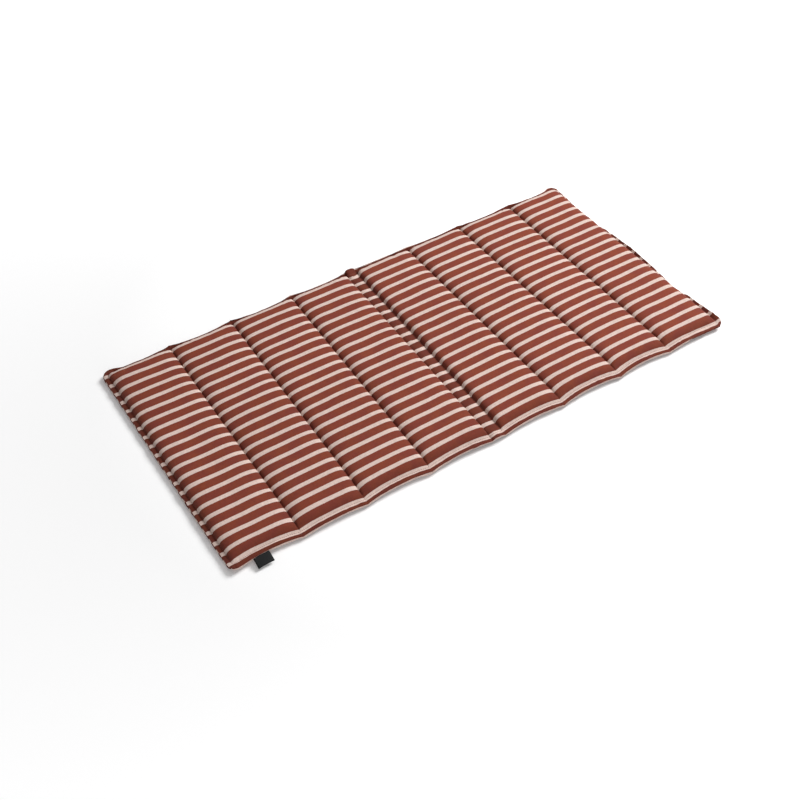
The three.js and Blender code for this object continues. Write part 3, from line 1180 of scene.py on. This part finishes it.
def set_camera(scene):
    """Looks down on the cushion over its front left corner."""
    azimuth, rise, roll = (math.radians(a) for a in (CAMERA_AZIMUTH, CAMERA_RISE, CAMERA_ROLL))
    back = Vector(
        (math.sin(azimuth) * math.cos(rise), -math.cos(azimuth) * math.cos(rise), math.sin(rise))
    )
    camera = bpy.data.objects.new("camera", bpy.data.cameras.new("camera"))
    camera.data.lens = CAMERA_LENS
    turned = back.to_track_quat("Z", "Y").to_matrix() @ Matrix.Rotation(roll, 3, "Z")
    camera.matrix_world = (
        Matrix.Translation(CAMERA_TARGET + back * CAMERA_DISTANCE) @ turned.to_4x4()
    )
    scene.collection.objects.link(camera)
    scene.camera = camera


class SEATCUSHION_OT_sew_cushion(bpy.types.Operator):
    """Sew both panels, fill the channels and let the cloth pucker"""

    bl_idname = "seat_cushion.sew_cushion"
    bl_label = "Sew and fill the cushion"

    def execute(self, context):
        sizes = context.scene.cushion_sizes
        cushion = sewn_panels(sizes)
        add_relief(cushion, sizes)
        cushion.data.materials.clear()
        cushion.data.materials.append(striped_canvas(sizes))
        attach(cushion, "root")
        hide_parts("cushion")
        return {"FINISHED"}


class SEATCUSHION_OT_stitch_rows(bpy.types.Operator):
    """Lay the topstitching and the channel seams as single stitches"""

    bl_idname = "seat_cushion.stitch_rows"
    bl_label = "Stitch the rows"

    def execute(self, context):
        sizes = context.scene.cushion_sizes
        cushion = bpy.data.objects["filled_cushion"]
        seams = [line for line in LINES if "seam" in line.kind]
        skin = BVHTree.FromObject(cushion, context.evaluated_depsgraph_get())
        ways = {
            "edge_topstitching": [border_points(sizes)],
            "channel_stitching": [seam_points(line, sizes) for line in seams],
        }
        thread = sewing_thread(sizes)
        for name, points in ways.items():
            rows = stitch_rows(name, points, skin, sizes)
            rows.data.materials.append(thread)
            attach(rows, "root")
        return {"FINISHED"}


class SEATCUSHION_OT_fold_tab(bpy.types.Operator):
    """Fold the woven tape double and set it in the front border"""

    bl_idname = "seat_cushion.fold_tab"
    bl_label = "Fold the side tab"

    def execute(self, context):
        tab = context.scene.cushion_tab
        piece = folded_tab(tab, context.scene.cushion_sizes)
        piece.data.materials.append(woven_tape(tab))
        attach(piece, "root")
        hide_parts("side_tab")
        return {"FINISHED"}


class SEATCUSHION_OT_set_studio(bpy.types.Operator):
    """Lay the floor, hang the lights and set the camera"""

    bl_idname = "seat_cushion.set_studio"
    bl_label = "Set the studio"

    def execute(self, context):
        studio = context.scene.cushion_studio
        bm = bmesh.new()
        under = Matrix.Translation((0, 0, -FLOOR_GAP))
        bmesh.ops.create_grid(bm, x_segments=2, y_segments=2, size=FLOOR_REACH, matrix=under)
        floor = new_piece("studio_floor", bm, smooth_faces=False)
        floor.data.materials.append(pale_floor(studio))
        add_lamp(KEY_LAMP, studio.key)
        add_lamp(TOP_LAMP, studio.top)
        add_lamp(FRONT_LAMP, studio.front)
        context.scene.world = white_room(studio)
        context.scene.view_settings.view_transform = "Standard"
        set_camera(context.scene)
        return {"FINISHED"}


class SEATCUSHION_PT_sidebar(bpy.types.Panel):
    """Builds the cushion piece by piece"""

    bl_label = "Folding seat cushion"
    bl_idname = "SEATCUSHION_PT_sidebar"
    bl_space_type = "VIEW_3D"
    bl_region_type = "UI"
    bl_category = "Cushion"

    def draw(self, context):
        scene = context.scene
        groups = (
            (scene.cushion_sizes, (SEATCUSHION_OT_sew_cushion, SEATCUSHION_OT_stitch_rows)),
            (scene.cushion_tab, (SEATCUSHION_OT_fold_tab,)),
            (scene.cushion_studio, (SEATCUSHION_OT_set_studio,)),
        )
        for group, operators in groups:
            box = self.layout.box()
            for name in group.__annotations__:
                box.prop(group, name)
            for operator in operators:
                box.operator(operator.bl_idname)


CLASSES = (
    CushionSizes,
    TabSizes,
    StudioSettings,
    SEATCUSHION_OT_sew_cushion,
    SEATCUSHION_OT_stitch_rows,
    SEATCUSHION_OT_fold_tab,
    SEATCUSHION_OT_set_studio,
    SEATCUSHION_PT_sidebar,
)


def register():
    for cls in CLASSES:
        bpy.utils.register_class(cls)
    bpy.types.Scene.cushion_sizes = PointerProperty(type=CushionSizes)
    bpy.types.Scene.cushion_tab = PointerProperty(type=TabSizes)
    bpy.types.Scene.cushion_studio = PointerProperty(type=StudioSettings)


def unregister():
    del bpy.types.Scene.cushion_studio
    del bpy.types.Scene.cushion_tab
    del bpy.types.Scene.cushion_sizes
    for cls in reversed(CLASSES):
        bpy.utils.unregister_class(cls)


def main():
    register()
    bpy.ops.seat_cushion.sew_cushion()
    bpy.ops.seat_cushion.stitch_rows()
    bpy.ops.seat_cushion.fold_tab()
    bpy.ops.seat_cushion.set_studio()


if __name__ == "__main__":
    main()
